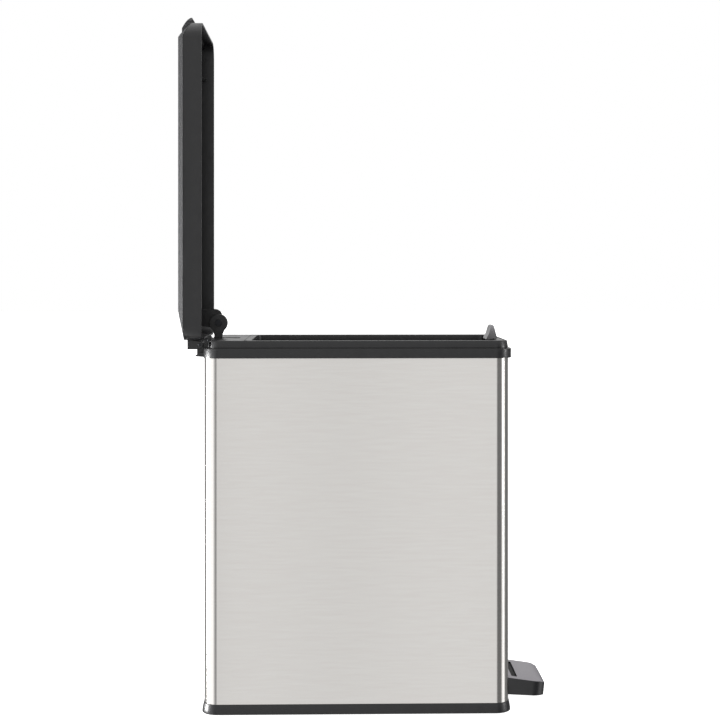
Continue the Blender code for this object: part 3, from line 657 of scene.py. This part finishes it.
for s in (-1, 1):
    comb = begin("comb")
    bpy.ops.mesh.primitive_cube_add(size=1, location=(0, 0, 0))
    bpy.ops.transform.resize(value=(30, 30, 60))
    bpy.ops.transform.rotate(value=-s * math.radians(33), orient_axis="Z", center_override=(0, 0, 0))
    bpy.ops.transform.translate(value=(s * (LIP_HALF + 11.5), LIP_TIP - 6.5, TOP - 10))
    leave()
    combs.append(comb)
combine(lip, combs, "DIFFERENCE")
for piece in (cover, lip):
    turn_about(piece, HINGE_Y, HINGE_Z, -90)
settle(cover, "lid", GRAIN, "grained_plastic", "lid_panel")
settle(lip, "lid", GRAIN, "grained_plastic")

# ---- bucket and bag ring ---------------------------------------------------------------------------
FLANGE = COLLAR_IN - 0.4
NECK = COLLAR_IN - 3.6


def well_ring(grow, z, edge=0.0):
    """A ring round the bucket's outline."""
    return (HALF + grow, FRONT - grow, WELL - 0.4 + grow - FLANGE, z, 20.0 + grow, edge)


SEAT = LEDGE_Z + 0.3
bucket = loft(
    "bucket_liner",
    [
        well_ring(NECK - 5.2, BUCKET_LOW, 1.0),
        well_ring(NECK - 3.6, BUCKET_LOW + 1.8, 1.0),
        well_ring(NECK, SEAT),
        well_ring(FLANGE, SEAT, 0.3),
        well_ring(FLANGE, SEAT + 2.0, 0.5),
        well_ring(NECK - 1.6, SEAT + 2.0, 0.6),
        well_ring(NECK - 5.2, BUCKET_LOW + 4.5, 2.5),
        well_ring(NECK - 10.0, BUCKET_LOW + 2.0),
    ],
    False,
    True,
    True,
)
leave()
settle(bucket, "bucket", GREY, "grey_plastic", "inner_bucket")

HOOP = BUCKET_TOP + 0.3
INNER = NECK - 2.6
hoop = loft(
    "bag_hoop",
    [
        well_ring(FLANGE, HOOP, 0.3),
        well_ring(FLANGE, RIM_TOP - 0.2, 0.6),
        well_ring(INNER - 1.4, RIM_TOP - 0.2, 0.6),
        well_ring(INNER - 1.4, RING_LOW, 0.3),
        well_ring(INNER, RING_LOW),
        well_ring(INNER, HOOP),
    ],
    True,
)
leave()
fin = [(FRONT + 5.6, RIM_TOP - 1.5), (FRONT + 6.6, RIM_TOP + 1.4), (FRONT + 7.6, RIM_TOP + 4.5)]
fin += [(FRONT + 9.4, RIM_TOP + 12.6)] + arc(FRONT + 11.4, RIM_TOP + 12.4, 2.1, 170, 10, 8)
fin += [(FRONT + 15.6, RIM_TOP + 4.5), (FRONT + 17.4, RIM_TOP + 1.4), (FRONT + 18.6, RIM_TOP - 1.5)]
tab = draw("finger_tab", fin, -17, 17)
leave()
face = block("face", (-17, 17), (FRONT, FRONT + 30), (RIM_TOP - 9, TAB_TOP - 0.05))
soften(9.0, 10, lambda at, along: abs(along.y) > 0.9 and at.z > RIM_TOP)
leave()
combine(tab, [face], "INTERSECT")
settle(tab, "bag_ring", PALE, "grey_plastic")
settle(hoop, "bag_ring", BLACK, "black_plastic", "bag_ring")

# ---- pedal, drawn level and then dipped about its shaft ----------------------------------------------
shaft_low, shaft_high = span("pivot_shaft")
SHAFT_Y, SHAFT_Z = (shaft_low[1] + shaft_high[1]) / 2, (shaft_low[2] + shaft_high[2]) / 2
REAR = FRONT - 3.0
NOSE = REAR - 45.0
side_view = [(REAR, SHAFT_Z - 7.6), (REAR, SHAFT_Z + 10.9), (NOSE + 9, SHAFT_Z + 9.7)]
side_view += [(NOSE + 4, SHAFT_Z + 8.2), (NOSE + 1, SHAFT_Z + 4.2), (NOSE, SHAFT_Z + 0.8)]
side_view += [(NOSE + 0.6, SHAFT_Z - 4.4), (NOSE + 3, SHAFT_Z - 5.6)]


def footprint(name, half, corner, front, reach):
    """An upright block with a bowed front and rounded front corners."""
    made = block(name, (-half, half), (front - 0.5, REAR + reach), (SHAFT_Z - 20, SHAFT_Z + 20))
    soften(corner, 14, lambda at, along: abs(along.z) > 0.9 and at.y < front)
    leave()
    bow = round_bar("bow", "Z", (0, front + 150, SHAFT_Z), 150, 60, 512)
    leave()
    return combine(made, [bow], "INTERSECT")


pad = draw("pedal_tread", side_view, -PAD_HALF, PAD_HALF)
leave()
outer = footprint("outer", PAD_HALF, 18.0, NOSE, 0.0)
underside = [(REAR - 2.5, SHAFT_Z - 12), (REAR - 2.5, SHAFT_Z + 7.6), (NOSE + 9.5, SHAFT_Z + 6.8)]
underside += [(NOSE + 4.2, SHAFT_Z + 4), (NOSE + 2.8, SHAFT_Z), (NOSE + 2.8, SHAFT_Z - 12)]
hollow = draw("hollow", underside, 2.5 - PAD_HALF, PAD_HALF - 2.5)
leave()
inner = footprint("inner", PAD_HALF - 2.5, 15.5, NOSE + 2.5, 10.0)
combine(hollow, [inner], "INTERSECT")
groove = block("groove", (-30, 30), (REAR - 11.0, REAR - 4.4), (SHAFT_Z + 8.2, SHAFT_Z + 14))
soften(1.9, 6, lambda at, along: abs(along.z) > 0.9)
leave()
combine(pad, [outer], "INTERSECT")
combine(pad, [hollow], "DIFFERENCE")
rounding = pad.modifiers.new("rounded edges", "BEVEL")
rounding.width, rounding.segments = 1.2, 4
rounding.limit_method, rounding.angle_limit = "ANGLE", math.radians(50)
bpy.ops.object.select_all(action="DESELECT")
pad.select_set(True)
bpy.context.view_layer.objects.active = pad
bpy.ops.object.modifier_apply(modifier=rounding.name)
combine(pad, [groove], "DIFFERENCE")
inlay = block("tread_inlay", (-29.8, 29.8), (REAR - 10.8, REAR - 4.6), (SHAFT_Z + 8.2, SHAFT_Z + 8.9))
leave()
turn_about(inlay, SHAFT_Y, SHAFT_Z, 6)
settle(inlay, "pedal", RUBBER, "black_rubber")
turn_about(pad, SHAFT_Y, SHAFT_Z, 6)
settle(pad, "pedal", TREAD_WITH_PAINTED_SHEEN, "black_plastic", "pedal_pad")

# ---- finishes on the plain pieces ---------------------------------------------------------------------
for names, finish in (
    (("base_plate", "channel_cover", "pivot_bracket_left", "pivot_bracket_right"), GREY),
    (("pivot_shaft", "push_rod", "pedal_lever"), PLATED),
    (("hinge_pin_left", "hinge_pin_right", "crank_pin"), OILED),
    (tuple(f"base_screw_{i}" for i in range(1, 5)) + tuple(f"lid_screw_{i}" for i in range(1, 5)), PLATED),
    (("ear_screw_1", "ear_screw_2", "pedal_screw_1", "pedal_screw_2"), PLATED),
    (("lid_ear", "rod_head", "rod_shoe"), BLACK),
    (("foot_1", "foot_2", "foot_3", "foot_4", "lid_buffer_left", "lid_buffer_right"), RUBBER),
):
    for name in names:
        held = frame["nodes"][name].data.materials
        held.clear()
        held.append(finish)

# ---- studio -------------------------------------------------------------------------------------------
bpy.ops.object.select_all(action="DESELECT")
bpy.ops.mesh.primitive_plane_add(size=30, location=(0, 0, 0))
floor = bpy.context.object
floor.name = "floor"
paper, paper_tree, paper_shader = surface("white backing paper", "#e4e4e4", 0.0, 0.9)
paper_shader.inputs["Emission Color"].default_value = (1, 1, 1, 1)
seen = node(paper_tree, "ShaderNodeLightPath")
paper_tree.links.new(seen.outputs["Is Camera Ray"], paper_shader.inputs["Emission Strength"])
floor.data.materials.append(paper)
floor.visible_glossy = False

world = bpy.data.worlds.new("studio")
bpy.context.scene.world = world
world.use_nodes = True
sky = world.node_tree
sky.nodes.clear()
heading = node(sky, "ShaderNodeTexCoord")
parts = node(sky, "ShaderNodeSeparateXYZ", [("Vector", heading.outputs["Generated"])])
ahead = node(sky, "ShaderNodeMath", [(0, parts.outputs["X"])], [(1, -1.0)], operation="MULTIPLY")
bearing = node(sky, "ShaderNodeMath", [(0, parts.outputs["Y"]), (1, ahead.outputs[0])], operation="ARCTAN2")
share = node(sky, "ShaderNodeMapRange", [("Value", bearing.outputs[0])])
share.inputs["From Min"].default_value, share.inputs["From Max"].default_value = -math.pi, math.pi
# softboxes to the left, to the right and over the viewer's shoulder, with dark gaps between them
panels = [(-180, 0.85), (-171, 0.85), (-162, 0.25), (-96, 0.22), (-84, 1.5), (-64, 1.5), (-54, 0.2)]
panels += [(-20, 0.2), (-14, 1.1), (-6, 1.08), (0, 1.0), (9, 1.14), (13, 0.4), (22, 0.4), (42, 1.7)]
panels += [(90, 1.7), (102, 0.45), (162, 0.35), (171, 0.85), (180, 0.85)]
glow = ramp(sky, share.outputs[0], [((a + 180) / 360, (v / 2, v / 2, v / 2, 1)) for a, v in panels])
# above the panels the whole studio is one pale ceiling
height = node(sky, "ShaderNodeMapRange", [("Value", parts.outputs["Z"])], interpolation_type="SMOOTHSTEP")
height.inputs["From Min"].default_value, height.inputs["From Max"].default_value = 0.12, 0.3
lift = node(sky, "ShaderNodeMix", [("Factor", height.outputs[0])], data_type="RGBA")
sky.links.new(glow.outputs[0], lift.inputs["A"])
lift.inputs["B"].default_value = (0.5, 0.5, 0.5, 1)
backdrop = node(sky, "ShaderNodeLightPath")
lamp = node(sky, "ShaderNodeBackground", [("Color", lift.outputs["Result"])], [("Strength", 2.0)])
white = node(sky, "ShaderNodeBackground", inputs=[("Color", (1, 1, 1, 1)), ("Strength", 1.0)])
choice = node(sky, "ShaderNodeMixShader", [(0, backdrop.outputs["Is Camera Ray"])])
sky.links.new(lamp.outputs[0], choice.inputs[1])
sky.links.new(white.outputs[0], choice.inputs[2])
node(sky, "ShaderNodeOutputWorld", [("Surface", choice.outputs[0])])


def softbox(name, place, aim, width, height, power):
    data = bpy.data.lights.new(name, "AREA")
    data.shape, data.size, data.size_y, data.energy = "RECTANGLE", width, height, power
    lamp = bpy.data.objects.new(name, data)
    bpy.context.scene.collection.objects.link(lamp)
    lamp.location = place
    lamp.rotation_euler = [0, 0, 0]
    away = [a - b for a, b in zip(place, aim)]
    flat = math.hypot(away[0], away[1])
    lamp.rotation_euler = (math.atan2(flat, away[2]), 0, math.atan2(away[0], -away[1]))
    return lamp


softbox("ceiling", (0, 0, 2.6), (0, 0, 0), 2.4, 2.4, 14)
# a low softbox behind on the hinge side rakes the lid's long bevel
softbox("rake", (-0.05, 1.0, 0.12), (-0.08, 0.19, 0.42), 0.4, 0.4, 24).visible_camera = False
# a narrow upright one off the front corner draws a line of light down the rim's corner
softbox("corner", (-0.45, -1.6, 0.42), (0, -0.15, 0.42), 0.1, 0.8, 5)

view = bpy.context.scene.view_settings
view.view_transform, view.look, view.exposure, view.gamma = "Standard", "None", 0.0, 1.0

camera = bpy.data.objects.new("camera", bpy.data.cameras.new("camera"))
bpy.context.scene.collection.objects.link(camera)
camera.location = (-1.583, 0.0356, 0.4777)
camera.rotation_euler = (math.radians(90), 0, math.radians(-91.2))
camera.data.lens, camera.data.sensor_width, camera.data.shift_y = 69.7, 36.0, -0.122
bpy.context.scene.camera = camera
